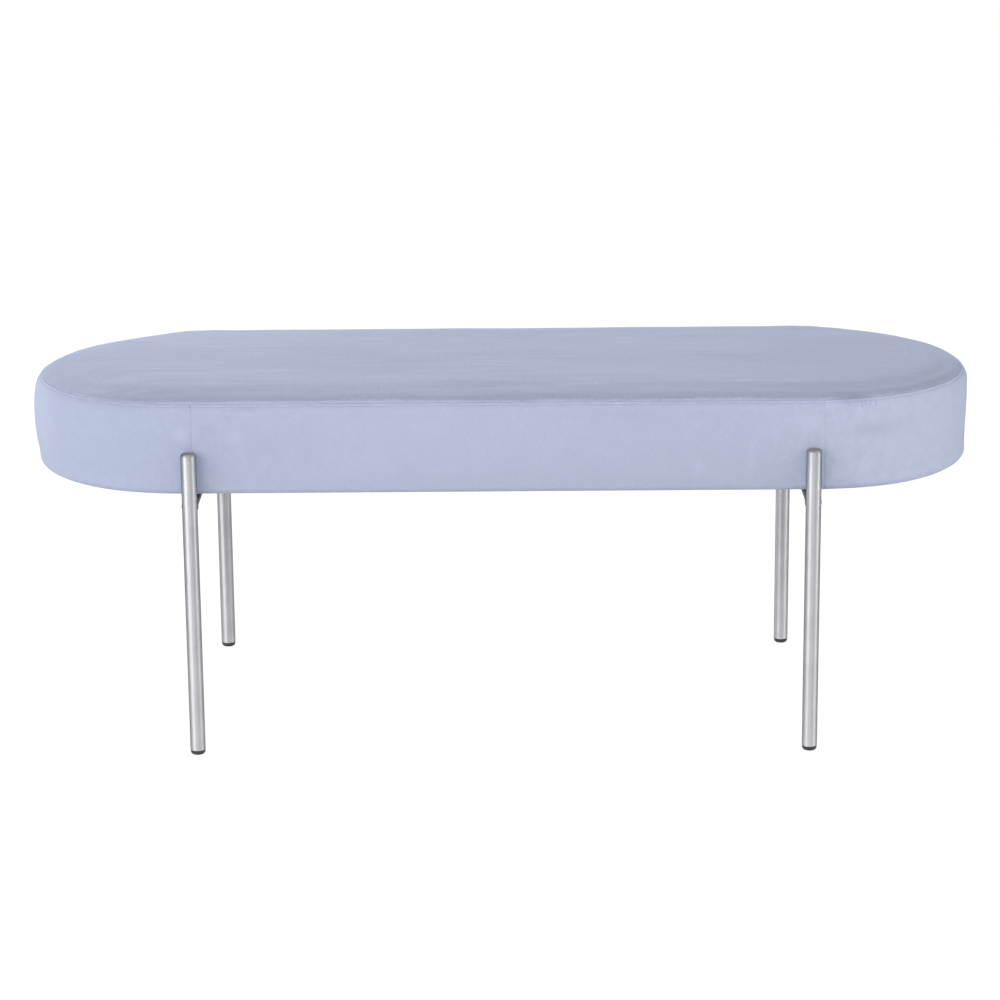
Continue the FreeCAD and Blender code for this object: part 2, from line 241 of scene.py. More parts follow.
def velvet(name, nap, sheen, marks, patches, strokes, ridge_rub=0.0, painted_rim_shade=0.0, painted_fold_light=None):
    """Short-pile velvet: nap marks, tone patches (some painted light and shade), rubbed strokes, the pile's
    grain.

    nap is (plain, light, dark); marks are (scale, low, high, strength) of a noise; patches are (middle,
    radii, strength) and strokes (middle, radii, scale, strength), their scale in places round the seat.
    Positive strengths are lighter. The rim gets painted shade, ragged inside, and a painted highlight in the
    given colour where the fold at the seam catches the light.
    """
    look = new_look(name)
    plain_nap, light_nap, dark_nap = nap

    def brushed(tone, mask, strength):
        other = light_nap if strength > 0 else dark_nap
        return look.mix(look.times(mask, abs(strength)), tone, other)

    plain = look.places()
    around = look.round_places()
    grain = look.noise(plain, PILE_SCALE, 2, 0.7)
    cloud = look.noise(look.places((1, 1, 1.6), (0, 0.5, 0.2)), CLOUD_SCALE, 2, 0.5, 0.5)
    tone = brushed(plain_nap, look.spread(grain, 0.3, 0.7, 1.0, 0.0), -0.14)
    for k, (scale, low, high, strength) in enumerate(marks):
        lying = look.noise(look.places(scale, NAP_TURN, (3.1 * k, 1.7, 0.9 * k)), 1, 3, 0.62, 0.3)
        tone = brushed(tone, look.spread(lying, low, high), strength)
    # Painted shade along the rim, ragged inside.
    if painted_rim_shade:
        out = look.axes(around)[1]
        coarse = look.noise(look.places(RIM_COARSE, source=around), 1, 4, 0.65)
        fine = look.noise(look.places(RIM_FINE, source=around), 1, 3, 0.7)
        ragged = look.math("MULTIPLY_ADD", fine, RIM_FINE_PULL, out)
        ragged = look.math("MULTIPLY_ADD", coarse, RIM_COARSE_PULL, ragged)
        shade = look.spread(ragged, HALF_WIDTH + PAINTED_RIM_SHADE_START, HALF_WIDTH + PAINTED_RIM_SHADE_END)
        tone = brushed(tone, shade, painted_rim_shade)
        # A painted highlight in the given colour where the fold at the seam catches the light.
        fuzzy = look.math("MULTIPLY_ADD", fine, FOLD_LIGHT_FINE_PULL, out)
        fuzzy = look.math("MULTIPLY_ADD", coarse, FOLD_LIGHT_COARSE_PULL, fuzzy)
        tone = look.mix(look.spread(fuzzy, HALF_WIDTH - FOLD_LIGHT_WIDTH, HALF_WIDTH, 0.0, 0.85), tone, painted_fold_light)
    if ridge_rub:
        ridge = look.spread(look.axes(plain)[2], SEAM_HEIGHT - RUB_START, SEAM_HEIGHT - RUB_END)
        uneven = look.noise(look.places((60, 8, 8), source=around), 1, 3, 0.6)
        tone = brushed(tone, look.times(ridge, look.spread(uneven, 0.4, 0.62)), ridge_rub)
    for middle, radii, strength in patches:
        tone = brushed(tone, look.patch(plain, on_seat(*middle), radii, 0.4), strength)
    for middle, radii, scale, strength in strokes:
        mask = look.patch(plain, on_seat(*middle), radii, 0.3)
        stroke = look.noise(look.places(scale, source=around), 1, 2, 0.6)
        tone = brushed(tone, look.times(mask, look.spread(stroke, 0.54, 0.64)), strength)
    return look.finish(
        Base_Color=tone,
        Roughness=0.92,
        Specular_IOR_Level=0.2,
        Sheen_Weight=sheen,
        Sheen_Roughness=0.5,
        Sheen_Tint=SHEEN_COLOUR,
        Normal=look.bump(cloud, CLOUD_DEPTH, 0.15, look.bump(grain, PILE_DEPTH, 0.6)),
    )


BRUSH_FINE = 2600
BRUSH_LONG = 12
BRUSH_DEPTH = 0.01 * MM
BRUSH_LINES = {
    "Y": (BRUSH_LONG, BRUSH_FINE, BRUSH_LONG),
    "Z": (BRUSH_LONG, BRUSH_LONG, BRUSH_FINE),
    None: (500, 500, 500),
}
BRUSH_SHADE = colour(120, 120, 124)
SMUDGE_SHADE = colour(150, 148, 148)
PAINTED_GLINT_COLOUR = colour(206, 188, 140)


def steel(name, base, axis=None, roughness=0.58, marks=(), edge=1.0):
    """Satin steel with fine brush lines round its axis.

    marks are painted straw-coloured glints (middle, size, strength); edge is how much shows edge-on.
    """
    look = new_look(name)
    plain = look.places()
    lines = look.noise(look.places(BRUSH_LINES[axis]), 1, 1, 0.5)
    smudge = look.noise(plain, 28, 3, 0.6, 0.4)
    tone = look.mix(look.spread(lines, 0.25, 0.75, 0.0, 0.08), colour(*base), BRUSH_SHADE)
    tone = look.mix(look.spread(smudge, 0.55, 0.8, 0.0, 0.06), tone, SMUDGE_SHADE)
    # Painted straw-coloured glints.
    for middle, size, strength in marks:
        tone = look.mix(look.times(look.patch(plain, middle, size, 0.3), strength), tone, PAINTED_GLINT_COLOUR)
    if axis:
        tangent = look.node("Tangent", {}, direction_type="RADIAL", axis=axis)[0]
        look.finish(Anisotropic=0.9, Anisotropic_Rotation=0.25, Tangent=tangent)
    return look.finish(
        Base_Color=tone,
        Metallic=1.0,
        Roughness=look.spread(smudge, 0.3, 0.7, roughness - 0.02, roughness + 0.03),
        Specular_Tint=(edge, edge, edge, 1.0),
        Normal=look.bump(lines, BRUSH_DEPTH, 0.3),
    )


def plastic(name, base, worn):
    """Moulded plastic with a fine eroded texture, and scuffs low down."""
    look = new_look(name)
    grain = look.noise(look.places(), 2600, 2, 0.6)
    scuff = look.noise(look.places((1, 1, 4)), 180, 4, 0.7, 1.0)
    return look.finish(
        Base_Color=look.mix(look.spread(scuff, 0.58, 0.72, 0.0, 0.5), colour(*base), colour(*worn)),
        Roughness=look.spread(scuff, 0.4, 0.7, 0.42, 0.62),
        Normal=look.bump(grain, 0.1 * MM, 0.5),
    )


PLIES_PER_METRE = 360


def plywood(name):
    """Birch plywood: long grain on the faces and thin plies along the edge."""
    look = new_look(name)
    grain = look.noise(look.places((6, 90, 90)), 1.4, 5, 0.65, 0.8)
    face = look.mix(look.spread(grain, 0.3, 0.7), colour(214, 184, 140), colour(187, 150, 104))
    ply = look.math("FRACT", look.times(look.axes(look.places())[2], PLIES_PER_METRE))
    edge = look.mix(look.spread(ply, 0.45, 0.55), colour(198, 163, 116), colour(146, 108, 70))
    up = look.axes(look.node("NewGeometry", {})["Normal"])[2]
    flat = look.spread(look.math("ABSOLUTE", up), 0.4, 0.7)
    return look.finish(
        Base_Color=look.mix(flat, edge, face),
        Roughness=0.62,
        Normal=look.bump(grain, 0.3 * MM, 0.4),
    )


def fibres(name, base, shade, scale, depth_mm):
    """Foam, wadding, thread or spun cloth: a fine open texture in two tones."""
    look = new_look(name)
    base, shade = colour(*base), colour(*shade)
    cells = look.noise(look.places(), scale, 4, 0.75, 0.3)
    patch = look.noise(look.places(), scale / 25, 2, 0.5)
    tone = look.mix(look.spread(cells, 0.35, 0.65), shade, base)
    return look.finish(
        Base_Color=look.mix(look.spread(patch, 0.4, 0.7, 0.0, 0.3), tone, shade),
        Roughness=0.9,
        Specular_IOR_Level=0.2,
        Sheen_Weight=0.1,
        Normal=look.bump(cells, depth_mm * MM, 0.6),
    )


# Mesh helpers

SOFT_SHARP = math.radians(50)  # edges sharper than this stay sharp
METAL_SHARP = math.radians(35)
SPINE_MERGE = 3e-6  # points closer than this become one
METAL_MERGE = 1e-7
NEARLY = 1e-9


def mesh_object(name, points, faces, material, sharp=SOFT_SHARP):
    mesh = bpy.data.meshes.new(name)
    mesh.from_pydata([tuple(p) for p in points], [], [tuple(f) for f in faces])
    mesh.validate()
    mesh.update()
    mesh.shade_smooth()
    mesh.set_sharp_from_angle(angle=sharp)
    mesh.materials.append(material)
    return link(name, mesh)


def tidy_mesh(piece, merge=2e-6, sharp=SOFT_SHARP):
    """Merges points that coincide and turns all faces outward."""
    work = bmesh.new()
    work.from_mesh(piece.data)
    bmesh.ops.remove_doubles(work, verts=work.verts, dist=merge)
    bmesh.ops.recalc_face_normals(work, faces=work.faces)
    work.to_mesh(piece.data)
    work.free()
    piece.data.shade_smooth()
    piece.data.set_sharp_from_angle(angle=sharp)
    return piece


def sweep_faces(rows, columns, around, loop, first=0):
    """Faces of a grid of sections: around joins last row and first, loop joins last column and first."""
    row = np.arange(rows if around else rows - 1)[:, None]
    column = np.arange(columns if loop else columns - 1)[None, :]
    next_row = (row + 1) % rows
    next_column = (column + 1) % columns
    corners = [row * columns + column, row * columns + next_column]
    corners += [next_row * columns + next_column, next_row * columns + column]
    return (np.stack(np.broadcast_arrays(*corners), -1).reshape(-1, 4) + first).tolist()


def swept(name, grid, material, loop=False, merge=SPINE_MERGE, sharp=SOFT_SHARP):
    """A body over a grid of sections that go all the way round."""
    faces = sweep_faces(*grid.shape[:2], True, loop)
    return tidy_mesh(mesh_object(name, grid.reshape(-1, 3), faces, material), merge, sharp)


def there_and_back(there, back):
    """A grid whose sections go out along one layer and back along the other."""
    return np.concatenate([there, back[:, ::-1]], axis=1)


def thin_caps(rows, columns):
    """Faces that close both ends of a sweep whose sections go there and back."""
    last = (rows - 1) * columns
    caps = []
    for j in range(columns // 2 - 1):
        across = columns - 1 - j
        caps.append([j + 1, j, across, across - 1])
        caps.append([last + j, last + j + 1, last + across - 1, last + across])
    return caps


def add_grid(points, faces, grid, around, loop):
    """Adds a grid of sections to a body's lists, closed at both ends unless it goes all the way round."""
    rows, columns = grid.shape[:2]
    first = len(points)
    last = first + (rows - 1) * columns
    points += grid.reshape(-1, 3).tolist()
    faces += sweep_faces(rows, columns, around, loop, first)
    if not around:
        faces += [[first + i for i in range(columns)], [last + i for i in reversed(range(columns))]]


def full_turn(count):
    return np.linspace(0, 2 * math.pi, count, endpoint=False)


def finish_piece(piece, slot, *nodes):
    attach(piece, "root")
    if nodes:
        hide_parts(*nodes)
    return piece


# The seat's outline, measured along its widest line from the front's left end, anticlockwise from above

STRAIGHT = 2 * END_CENTRE
ROUND = math.pi * HALF_WIDTH
HALF_LAP = STRAIGHT + ROUND
LAP = 2 * HALF_LAP


def outline(distances):
    """Centre points and outward directions at distances round the seat."""
    along = np.mod(np.asarray(distances, float), LAP)
    back = along >= HALF_LAP
    local = np.where(back, along - HALF_LAP, along)
    sign = np.where(back, -1.0, 1.0)
    angle = np.clip((local - STRAIGHT) / HALF_WIDTH, 0, math.pi)
    run = np.minimum(local, STRAIGHT) - END_CENTRE
    none = np.zeros_like(run)
    centres = np.stack([sign * run, none, none], -1)
    outward = np.stack([sign * np.sin(angle), -sign * np.cos(angle), none], -1)
    return centres, outward


def even_stations(step):
    """Distances round the seat, the same on the front as on the back."""
    straight = np.linspace(0, STRAIGHT, round(STRAIGHT / step) + 1)
    curve = np.linspace(0, ROUND, round(ROUND / step) + 1)[1:-1] + STRAIGHT
    half = np.concatenate([straight, curve])
    return np.concatenate([half, half + HALF_LAP])


def lap_of(x, end):
    """Distance round the seat of the place at x on the front (end -1) or the back (end 1)."""
    past = max(abs(x) - END_CENTRE, 0.0)
    turn = HALF_WIDTH * math.asin(past / HALF_WIDTH)
    reach = END_CENTRE + math.copysign(min(abs(x), END_CENTRE), x) + math.copysign(turn, x)
    return reach % LAP if end < 0 else (HALF_LAP + STRAIGHT - reach) % LAP


def past_lap(distances, place):
    """Signed distance round the seat past a place."""
    return np.mod(distances - place + LAP / 2, LAP) - LAP / 2


def laid_round(distances, across, height):
    """Points at (distance from the centre line, height) sections round the seat."""
    centres, outward = outline(distances)
    across = np.broadcast_to(across, (len(centres), np.shape(across)[-1]))
    points = centres[:, None, :] + outward[:, None, :] * across[..., None]
    points[..., 2] = np.broadcast_to(height, across.shape)
    return points


# Section of the velvet's outside: crown, rim, side, foot and hem

RIM_RADIUS = 25 * MM
CROWN_FALL = 5.2 * MM
CROWN_POWER = 4
RIM_MIDDLE = HALF_WIDTH - RIM_RADIUS
SEAM_ANGLE = math.radians(45)
SIDE_TAPER = 3.2 * MM
SIDE_POWER = 2.2
WIDEST_DROP = 5 * MM
FOOT_RADIUS = 10 * MM
HEM_WIDTH = 40 * MM
HEM_INNER = HALF_WIDTH - HEM_WIDTH


def cover_section():
    """Closely spaced points of the section, and the index of the one at the seam."""
    slope = math.atan(CROWN_FALL * CROWN_POWER / RIM_MIDDLE)
    start = math.pi / 2 - slope
    crown_end = RIM_MIDDLE + RIM_RADIUS * math.cos(start)
    n = np.linspace(0, crown_end, 800)
    crown = np.stack([n, SEAT_TOP - CROWN_FALL * (n / RIM_MIDDLE) ** CROWN_POWER], -1)
    rim_z = crown[-1, 1] - RIM_RADIUS * math.sin(start)
    above = np.linspace(start, SEAM_ANGLE, 160)[1:]
    below = np.linspace(SEAM_ANGLE, 0, 200)[1:]
    rim = [
        np.stack([RIM_MIDDLE + RIM_RADIUS * np.cos(a), rim_z + RIM_RADIUS * np.sin(a)], -1)
        for a in (above, below)
    ]
    foot_z = SEAT_BASE + FOOT_RADIUS
    z = np.linspace(rim_z, foot_z, 400)[1:]
    fall = np.clip((rim_z - WIDEST_DROP - z) / (rim_z - WIDEST_DROP - foot_z), 0, 1)
    side = np.stack([HALF_WIDTH - SIDE_TAPER * fall**SIDE_POWER, z], -1)
    foot_n = side[-1, 0] - FOOT_RADIUS
    a = np.linspace(0, -math.pi / 2, 100)[1:]
    foot = np.stack([foot_n + FOOT_RADIUS * np.cos(a), foot_z + FOOT_RADIUS * np.sin(a)], -1)
    n = np.linspace(foot_n, HEM_INNER, 160)[1:]
    hem = np.stack([n, np.full_like(n, SEAT_BASE)], -1)
    return np.concatenate([crown, *rim, side, foot, hem]), len(crown) + len(above) - 1


SECTION, SEAM_INDEX = cover_section()
SEAM_HEIGHT = float(SECTION[SEAM_INDEX, 1])
step_lengths = np.linalg.norm(np.diff(SECTION, axis=0), axis=1)
section_run = np.concatenate([[0], np.cumsum(step_lengths)])
PAST_SEAM = section_run - section_run[SEAM_INDEX]  # along the section, negative on the top panel
TOP_START = PAST_SEAM[0]
HEM_END = PAST_SEAM[-1]
FOOT_RUN = float(np.interp(SEAT_BASE + FOOT_RADIUS, SECTION[::-1, 1], PAST_SEAM[::-1]))
section_slopes = np.gradient(SECTION, PAST_SEAM, axis=0)
section_slopes /= np.linalg.norm(section_slopes, axis=1, keepdims=True)
section_normals = np.stack([-section_slopes[:, 1], section_slopes[:, 0]], -1)


def section_at(runs):
    """Section points and their outward normals at distances past the seam."""
    point = np.stack([np.interp(runs, PAST_SEAM, SECTION[:, k]) for k in (0, 1)], -1)
    normal = np.stack([np.interp(runs, PAST_SEAM, section_normals[:, k]) for k in (0, 1)], -1)
    return point, normal


def lifted(distances, runs, lift):
    """A grid of points on sections round the seat, each moved straight out of the section by its lift."""
    point, normal = section_at(runs)
    across = np.maximum(point[:, 0] + normal[:, 0] * lift, 0)
    across[:, runs <= TOP_START + NEARLY] = 0
    return laid_round(distances, across, point[:, 1] + normal[:, 1] * lift)


# Seams

VERTICAL_SEAMS = [lap_of(-0.381, -1), lap_of(0.399, -1), lap_of(0.392, 1), lap_of(-0.386, 1)]
PANEL_NAMES = ["front", "right", "back", "left"]


def from_nearest_seam(distances):
    """Signed distance round the seat from the nearest vertical seam."""
    gaps = np.stack([past_lap(np.asarray(distances), seam) for seam in VERTICAL_SEAMS])
    nearest = np.argmin(np.abs(gaps), axis=0)
    return np.take_along_axis(gaps, nearest[None], 0)[0]


# The cover over its filling: a shape as sewn and stuffed, then its swelling in a cloth simulation

NET_STEP = 10 * MM
MOST_SWELL = 4.5 * MM
MOST_SINK = 0.4 * MM
CLOTH_PRESSURE = 4.0
CLOTH_QUALITY = 6
CLOTH_FRAMES = 20
SLACK = 0.002  # share by which the velvet is cut larger than its filling
FILLED_RUNS_MM = [-210, -120, -60, -28, 0, 12, 30, 60, 85, 100, 110, 118, 130]
FILLED_STRAIGHT_MM = [-2.5, -2.2, -0.6, 1.7, 0.0, -0.6, -1.5, -1.8, -1.5, -0.8, -1.2, -0.6, 0.0]
FILLED_LEFT_MM = [-2.5, -2.0, -1.0, -2.4, -2.4, -0.8, 2.0, 3.2, 2.4, 0.8, 1.4, 1.0, 0.0]
FILLED_RIGHT_MM = [-2.5, -2.2, -1.2, -0.6, -0.6, -0.8, -0.6, -0.6, -0.4, 0.6, 2.2, 1.2, 0.0]


def smoothly(value):
    value = np.clip(value, 0, 1)
    return value * value * (3 - 2 * value)


def curve_through(places, knots, values):
    """Values at places on a smooth curve through the knots, along the last axis of values."""
    slopes = np.gradient(values, knots, axis=-1)
    i = np.clip(np.searchsorted(knots, places) - 1, 0, len(knots) - 2)
    gap = knots[i + 1] - knots[i]
    t = np.clip((places - knots[i]) / gap, 0, 1)
    start = values[..., i] * (1 + 2 * t) * (1 - t) ** 2 + slopes[..., i] * gap * t * (1 - t) ** 2
    return start + values[..., i + 1] * t**2 * (3 - 2 * t) - slopes[..., i + 1] * gap * t**2 * (1 - t)


def stuffed(distances, runs):
    """How far the filled cover stands out from its plain section before it swells."""
    outward = outline(distances)[1][:, 0]
    left = smoothly(-1.5 * outward)[:, None]
    right = smoothly(1.5 * outward)[:, None]
    lifts = np.array([FILLED_STRAIGHT_MM, FILLED_LEFT_MM, FILLED_RIGHT_MM]) * MM
    straight_form, left_form, right_form = curve_through(runs, np.array(FILLED_RUNS_MM) * MM, lifts)
    return straight_form * (1 - left - right) + left_form * left + right_form * right


def cloth_net(grid, runs, stations):
    """The net's mesh with its seams and hem held, and each of its points' place in the grid."""
    rows, columns = grid.shape[:2]
    faces = sweep_faces(rows, columns, True, False)
    piece = mesh_object("cover_net", grid.reshape(-1, 3), faces, None)
    work = bmesh.new()
    work.from_mesh(piece.data)
    layer = work.verts.layers.int.new("place")
    for i, vert in enumerate(work.verts):
        vert[layer] = i
    bmesh.ops.remove_doubles(work, verts=work.verts, dist=2e-6)
    kept = np.array([vert[layer] for vert in work.verts])
    work.to_mesh(piece.data)
    work.free()
    run = runs[kept % columns]
    seam_gap = np.abs(from_nearest_seam(stations))[kept // columns]
    held = (run == 0) | (run > FOOT_RUN) | (run > 0) & (seam_gap < NET_STEP / 2)
    pins = piece.vertex_groups.new(name="pins")
    pins.add([int(i) for i in np.flatnonzero(held)], 1.0, "REPLACE")
    return piece, kept


def simulated(piece):
    """The net's points once the cloth has swelled, after which the net is deleted."""
    cloth = piece.modifiers.new("cloth", "CLOTH")
    cloth.settings.vertex_group_mass = "pins"
    cloth.settings.use_pressure = True
    cloth.settings.uniform_pressure_force = CLOTH_PRESSURE
    cloth.settings.shrink_min = -SLACK
    cloth.settings.effector_weights.gravity = 0.0
    cloth.settings.quality = CLOTH_QUALITY
    cloth.point_cache.frame_end = CLOTH_FRAMES
    for frame_number in range(1, CLOTH_FRAMES + 1):
        bpy.context.scene.frame_set(frame_number)
    result = piece.evaluated_get(bpy.context.evaluated_depsgraph_get())
    after = np.array([v.co for v in result.data.vertices])
    bpy.context.scene.frame_set(1)
    mesh = piece.data
    bpy.data.objects.remove(piece)
    bpy.data.meshes.remove(mesh)
    return after


def swelling():
    """The net's stations and section runs, and how far the cover swells there from its stuffed shape."""
    stations = even_stations(NET_STEP)
    top = np.linspace(TOP_START, 0, round(-TOP_START / NET_STEP) + 1)
    band = np.linspace(0, HEM_END, round(HEM_END / NET_STEP) + 1)[1:]
    runs = np.concatenate([top, band])
    normal = section_at(runs)[1]
    lift = stuffed(stations, runs)
    lift[:, 0] = lift[:, 0].mean()
    grid = lifted(stations, runs, lift)
    piece, kept = cloth_net(grid, runs, stations)
    flat_grid = grid.reshape(-1, 3)
    moves = np.zeros_like(flat_grid)
    moves[kept] = simulated(piece) - flat_grid[kept]
    spine = kept[kept % len(runs) == 0]
    order = np.argsort(flat_grid[spine, 0])
    spine_x, spine_up = flat_grid[spine, 0][order], moves[spine, 2][order]
    moves = moves.reshape(grid.shape)
    centres, outward = outline(stations)
    out = np.einsum("ijk,ik->ij", moves, outward) * normal[:, 0] + moves[..., 2] * normal[:, 1]
    out[:, 0] = np.interp(centres[:, 0], spine_x, spine_up)
    for _ in range(2):
        out = 0.5 * out + 0.25 * (np.roll(out, 1, 0) + np.roll(out, -1, 0))
    swollen = MOST_SWELL * np.tanh(np.maximum(out, 0) / MOST_SWELL)
    return stations, runs, swollen - MOST_SINK * np.tanh(np.maximum(-out, 0) / MOST_SINK)


SWELL_STATIONS, SWELL_RUNS, SWELL = swelling()


def swell_at(distances, runs):
    """The stuffed and swollen shape on a finer grid."""
    rows = curve_through(runs, SWELL_RUNS, SWELL)
    rows = np.concatenate([rows[-2:], rows, rows[:3]])
    stations = np.concatenate([SWELL_STATIONS[-2:] - LAP, SWELL_STATIONS, SWELL_STATIONS[:3] + LAP])
    return curve_through(np.mod(distances, LAP), stations, rows.T).T + stuffed(distances, runs)


# Fine relief of the cover: seams, the folded allowance with its topstitching, puckers and slow waves

CREASE_DEPTH = 0.7 * MM
CREASE_WIDTH = 0.9 * MM
RIDGE_HEIGHT = 0.55 * MM
RIDGE_START = 0.8 * MM
STITCH_LINE = 4.2 * MM
STITCH_GROOVE = 0.3 * MM
STITCH_GROOVE_WIDTH = 0.7 * MM
UNDER_RIDGE = (0.45 * MM, 12 * MM, 6 * MM)  # height, place and width of the soft swell below the ridge
SEAM_DIP = 0.28 * MM
SEAM_DIP_WIDTH = 0.85 * MM
SEAM_SHOULDER = (0.2 * MM, 3.5 * MM, 2.4 * MM)
PULL_DEPTH = 0.13 * MM
PUCKERS_MM = [
    # past the straight side's right end, depth, length down the band
    (43.0, 1.1, 11),
    (52.0, 0.8, 8),
    (60.5, 1.6, 13),
    (66.0, 1.1, 10),
    (72.5, 1.4, 12),
    (79.0, 1.7, 14),
]
PUCKER_WIDTH = 1.15 * MM
CRUSHED_MIDDLE = STRAIGHT + 47 * MM  # where the folded ridge is pressed flat
CRUSHED_SPREAD = 15 * MM


def slow_waves(points, seed, lengths, height):
    """Smooth waves through space, the same each time."""
    chance = np.random.default_rng(seed)
    total = np.zeros(points.shape[:-1])
    for length in lengths:
        for _ in range(3):
            direction = chance.normal(size=3)
            direction /= np.linalg.norm(direction)
            total += np.sin(2 * math.pi * (points @ direction) / length + chance.uniform(0, 2 * math.pi))
    return height * total / (1.7 * len(lengths))


def seam_waves(distances, seed, lengths):
    """Uneven waves along the seam, between about -1 and 1, that close up round the seat."""
    chance = np.random.default_rng(seed)
    total = np.zeros(len(distances))
    for length in lengths:
        turns = round(LAP / length)
        total += np.sin(2 * math.pi * turns * distances / LAP + chance.uniform(0, 2 * math.pi))
    return (total / (0.7 * len(lengths)))[:, None]


def hump(distance, width):
    return np.exp(-np.square(distance / width))


def puckers(distances, past):
    """Short folds that hang from the stitches at the right front corner."""
    depth = np.zeros((len(distances), past.shape[1]))
    for offset, deepest, length in PUCKERS_MM:
        lean = 0.12 * np.clip(past, 0, 1)
        aside = past_lap(distances, STRAIGHT + offset * MM)[:, None] - lean
        across = hump(aside, PUCKER_WIDTH) - 0.4 * hump(aside, 2.2 * PUCKER_WIDTH)
        start = smoothly((past - 2 * MM) / (2.5 * MM))
        end = smoothly((STITCH_LINE + length * MM - past) / (0.7 * length * MM))
        depth = depth + deepest * MM * across * (start * end)
    return depth


def relief(distances, runs):
    """How far the velvet's outside stands out from the swollen cover."""
    past = runs[None, :]
    on_band = past > 0
    uneven = seam_waves(distances, 11, (0.19, 0.083, 0.047, 0.031, 0.021))
    crushed = hump(past_lap(distances, CRUSHED_MIDDLE), CRUSHED_SPREAD)[:, None]
    height = -CREASE_DEPTH * hump(past, CREASE_WIDTH) * (1 - 0.5 * crushed)
    stitch_line = STITCH_LINE + 0.25 * MM * uneven
    ridge = 1 / (1 + np.exp(-(past - RIDGE_START) / (0.3 * MM)))
    ridge = ridge / (1 + np.exp((past - stitch_line + 0.4 * MM) / (0.4 * MM)))
    height = height + RIDGE_HEIGHT * ridge * (1 + 0.35 * uneven) * (1 - crushed)
    height = height - STITCH_GROOVE * hump(past - stitch_line, STITCH_GROOVE_WIDTH)
    height = height + UNDER_RIDGE[0] * on_band * hump(past - UNDER_RIDGE[1], UNDER_RIDGE[2])
    gap = from_nearest_seam(distances)[:, None]
    crease = -SEAM_DIP * hump(gap, SEAM_DIP_WIDTH) * (1 + 1.6 * np.exp(-past / (5 * MM)))
    shoulder = SEAM_SHOULDER[0] * hump(np.abs(gap) - SEAM_SHOULDER[1], SEAM_SHOULDER[2])
    height = height + on_band * (crease + shoulder) * np.clip(past / (2 * MM), 0, 1)
    pull = seam_waves(distances, 5, (0.013, 0.019, 0.029))
    height = height + PULL_DEPTH * pull * on_band * np.exp(-np.abs(past - 8 * MM) / (8 * MM))
    height = height - puckers(distances, past)
    point = section_at(runs)[0]
    waves = slow_waves(laid_round(distances, point[:, 0], point[:, 1]), 8, (0.34, 0.17, 0.085), 0.5 * MM)
    quiet = np.clip((HEM_END - 45 * MM - past) / (30 * MM), 0, 1)
    return height + waves * quiet * (1 - hump(past, 8 * MM))


# The velvet panels

STATION_STEP = 4 * MM
CLOSEST_STATIONS = 0.24 * MM
BESIDE_SEAM = np.array([0.25, 0.6, 1, 1.5, 2.2, 3.2, 4.5, 6]) * MM
PUCKER_STATIONS = np.arange(36, 88, 0.6) * MM
PANEL_GAP = 0.06 * MM


def stations_between(start, end):
    """Distances round the seat, close together near vertical seams and at the puckers."""
    close = [np.linspace(start, end, round((end - start) / STATION_STEP) + 1)]
    for centre in VERTICAL_SEAMS:
        for lap in (-LAP, 0, LAP):
            close += [centre + lap - BESIDE_SEAM, centre + lap + BESIDE_SEAM]
    close += [STRAIGHT + lap + PUCKER_STATIONS for lap in (0, LAP)]
    every = np.unique(np.round(np.concatenate(close), 6))
    every = every[(every >= start - NEARLY) & (every <= end + NEARLY)]
    keep = [every[0]]
    for value in every[1:]:
        if value - keep[-1] > CLOSEST_STATIONS:
            keep.append(value)
    return np.array(keep)


def spaced(start, *stretches):
    """Numbers from the start on, evenly spaced in each stretch (end, steps)."""
    values = [[start]]
    for end, steps in stretches:
        values.append(np.linspace(values[-1][-1], end, steps + 1)[1:])
    return np.concatenate(values)


TOP_RUNS = np.concatenate([
    spaced(TOP_START, (-60 * MM, 19), (-14 * MM, 16), (-3 * MM, 8)),
    np.array([-2.2, -1.6, -1.1, -0.7, -0.35, -0.12]) * MM,
])
BAND_RUNS = np.concatenate([
    np.array([0.12, 0.35, 0.6, 0.85, 1.1, 1.5, 2.1, 2.7, 3.2, 3.6, 3.9, 4.2, 4.5, 4.9, 5.4, 6.1]) * MM,
    spaced(7 * MM, (30 * MM, 12), (96 * MM, 14), (124 * MM, 14), (HEM_END, 7)),
])


def cover_layers(distances, runs):
    """The velvet's outside and inside as grids of points."""
    lift = swell_at(distances, runs)
    return lifted(distances, runs, lift + relief(distances, runs)), lifted(distances, runs, lift - VELVET)


def spine_matched(distances):
    """The distances and their mirror images in the seat's long middle line, so that both sides meet on it."""
    mirrored = np.mod(HALF_LAP + STRAIGHT - distances, LAP)
    both = np.unique(np.round(np.concatenate([np.mod(distances, LAP), mirrored]), 6))
    return both[np.append(True, np.diff(both) > 1e-6)]


def make_top_panel(material):
    layers = cover_layers(spine_matched(stations_between(0, LAP - 1e-6)), TOP_RUNS)
    for layer in layers:
        layer[:, 0, 2] = layer[:, 0, 2].mean()
    piece = swept("velvet_top_panel", there_and_back(*layers), material)
    return finish_piece(piece, "velvet", "cover_top_panel")


def make_band_panel(index, material):
    first = VERTICAL_SEAMS[index] + PANEL_GAP
    last = (VERTICAL_SEAMS + [VERTICAL_SEAMS[0] + LAP])[index + 1] - PANEL_GAP
    inside = stations_between(first, last)
    inside = inside[(inside > first + 2 * PANEL_GAP) & (inside < last - 2 * PANEL_GAP)]
    grid = there_and_back(*cover_layers(np.concatenate([[first], inside, [last]]), BAND_RUNS))
    rows, columns = grid.shape[:2]
    faces = sweep_faces(rows, columns, False, True) + thin_caps(rows, columns)
    name = PANEL_NAMES[index]
    piece = mesh_object("velvet_band_" + name, grid.reshape(-1, 3), faces, material)
    return finish_piece(piece, "velvet", "cover_band_" + name)


# Topstitching

